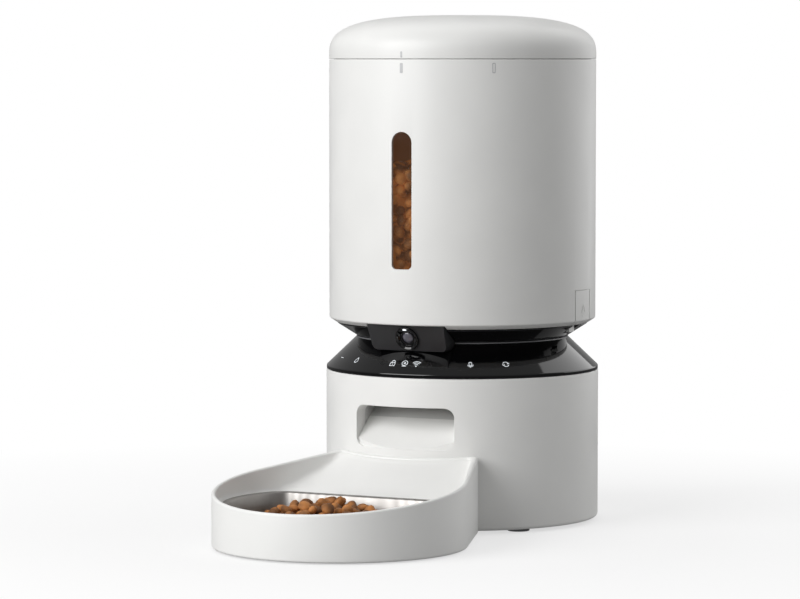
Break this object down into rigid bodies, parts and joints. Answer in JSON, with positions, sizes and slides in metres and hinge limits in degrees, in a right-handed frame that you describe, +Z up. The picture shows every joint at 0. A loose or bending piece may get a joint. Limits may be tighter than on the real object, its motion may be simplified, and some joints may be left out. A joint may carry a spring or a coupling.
{
  "type": "automatic pet feeder",
  "caption": "Round automatic pet feeder: lift-off food tank with twist lid on a base with camera, food chute, dispensing drive and a hooked bowl tray with steel bowl.",
  "frame": {"origin": "centre of the bounding box's underside, on the surface that the feet stand on", "axes": "+Z up, the bowl towards -Y, the tower's axis at y = 0.0895"},
  "size_m": [0.2, 0.379, 0.3698],
  "materials": {
    "white_plastic": "fine moulded satin ABS",
    "grey_plastic": "moulded, plain",
    "desiccant_paper": "non-woven sachet",
    "black_gloss": "piano black",
    "dark_plastic": "satin dark grey",
    "seam_grey": "satin",
    "smoke_window": "smoke-tinted acrylic",
    "steel": "brushed stainless",
    "rubber": "matte moulded",
    "silicone": "satin silicone",
    "gear_plastic": "acetal",
    "circuit_board": "solder mask",
    "zinc": "zinc plated",
    "battery_jacket": "plain film",
    "lens_glass": "polished",
    "lamp": "frosted light guide"
  },
  "bodies": {
    "base": {"base_housing": "white_plastic", "base_plate": "grey_plastic", "foot_1": "rubber", "foot_2": "rubber", "foot_3": "rubber", "foot_4": "rubber", "base_screw_1": "zinc", "base_screw_2": "zinc", "base_screw_3": "zinc", "base_screw_4": "zinc", "battery_box": "dark_plastic", "battery_1": "battery_jacket", "battery_2": "battery_jacket", "battery_3": "battery_jacket", "battery_contact_front": "zinc", "battery_contact_rear": "zinc", "food_chute": "grey_plastic", "mech_deck": "dark_plastic", "motor": "zinc", "rotor_housing": "grey_plastic", "food_wiper": "silicone", "control_ring": "black_gloss", "control_board": "circuit_board", "microphone": "zinc", "waist_seam": "seam_grey", "neck_cup": "black_gloss", "main_board": "circuit_board", "speaker": "dark_plastic", "power_inlet": "dark_plastic", "food_sensor_left": "dark_plastic", "food_sensor_right": "dark_plastic", "camera_housing": "dark_plastic", "camera_bezel": "black_gloss", "camera_lens": "lens_glass", "camera_lamp": "lamp", "camera_board": "circuit_board"},
    "battery_cover": {"battery_cover": "grey_plastic"},
    "motor_shaft": {"motor_pinion": "gear_plastic"},
    "food_wheel": {"food_wheel": "grey_plastic", "wheel_shaft": "zinc", "drive_gear": "gear_plastic", "agitator": "grey_plastic"},
    "hopper": {"hopper_shell": "white_plastic", "hopper_window": "smoke_window", "hopper_funnel": "white_plastic"},
    "tab_left": {"release_tab_left": "white_plastic"},
    "tab_right": {"release_tab_right": "white_plastic"},
    "lid_carrier": {"lid_plug": "white_plastic", "lid_seal": "silicone", "desiccant_box": "white_plastic", "desiccant_bag": "desiccant_paper"},
    "lid": {"lid_shell": "white_plastic"},
    "desiccant_cap": {"desiccant_cap": "white_plastic"},
    "bowl_tray": {"bowl_tray": "white_plastic", "tray_pad_1": "rubber", "tray_pad_2": "rubber", "tray_pad_3": "rubber"},
    "bowl": {"steel_bowl": "steel"}
  },
  "joints": [
    {"name": "battery_cover_slide", "type": "slide", "parent": "base", "child": "battery_cover", "axis": [0, 1, 0], "range_m": [0, 0.0078]},
    {"name": "wheel_turn", "type": "hinge", "parent": "base", "child": "food_wheel", "pos_m": [0, 0.0895, 0.12], "axis": [0, 0, 1], "continuous": true},
    {"name": "motor_turn", "type": "hinge", "parent": "base", "child": "motor_shaft", "pos_m": [0, 0.1179, 0.105], "axis": [0, 0, 1], "continuous": true},
    {"name": "hopper_lift", "type": "slide", "parent": "base", "child": "hopper", "axis": [0, 0, 1], "range_m": [0, 0.07]},
    {"name": "tab_left_press", "type": "hinge", "parent": "hopper", "child": "tab_left", "pos_m": [-0.09655, 0.0895, 0.1704], "axis": [0, -1, 0], "range_deg": [0, 4], "stiffness_Nm_per_rad": 0.6},
    {"name": "tab_right_press", "type": "hinge", "parent": "hopper", "child": "tab_right", "pos_m": [0.09655, 0.0895, 0.1704], "axis": [0, 1, 0], "range_deg": [0, 4], "stiffness_Nm_per_rad": 0.6},
    {"name": "lid_lift", "type": "slide", "parent": "hopper", "child": "lid_carrier", "axis": [0, 0, 1], "range_m": [0, 0.06]},
    {"name": "lid_turn", "type": "hinge", "parent": "lid_carrier", "child": "lid", "pos_m": [0, 0.0895, 0.35], "axis": [0, 0, 1], "range_deg": [0, 40]},
    {"name": "desiccant_cap_turn", "type": "hinge", "parent": "lid_carrier", "child": "desiccant_cap", "pos_m": [0, 0.0895, 0.315], "axis": [0, 0, 1], "range_deg": [0, 60]},
    {"name": "tray_slide", "type": "slide", "parent": "base", "child": "bowl_tray", "axis": [0, -1, 0], "range_m": [0, 0.06]},
    {"name": "bowl_lift", "type": "slide", "parent": "bowl_tray", "child": "bowl", "axis": [0, 0, 1], "range_m": [0, 0.05]}
  ],
  "couplings": [
    {"joint": "motor_turn", "follows": "wheel_turn", "ratio": -2.5}
  ]
}
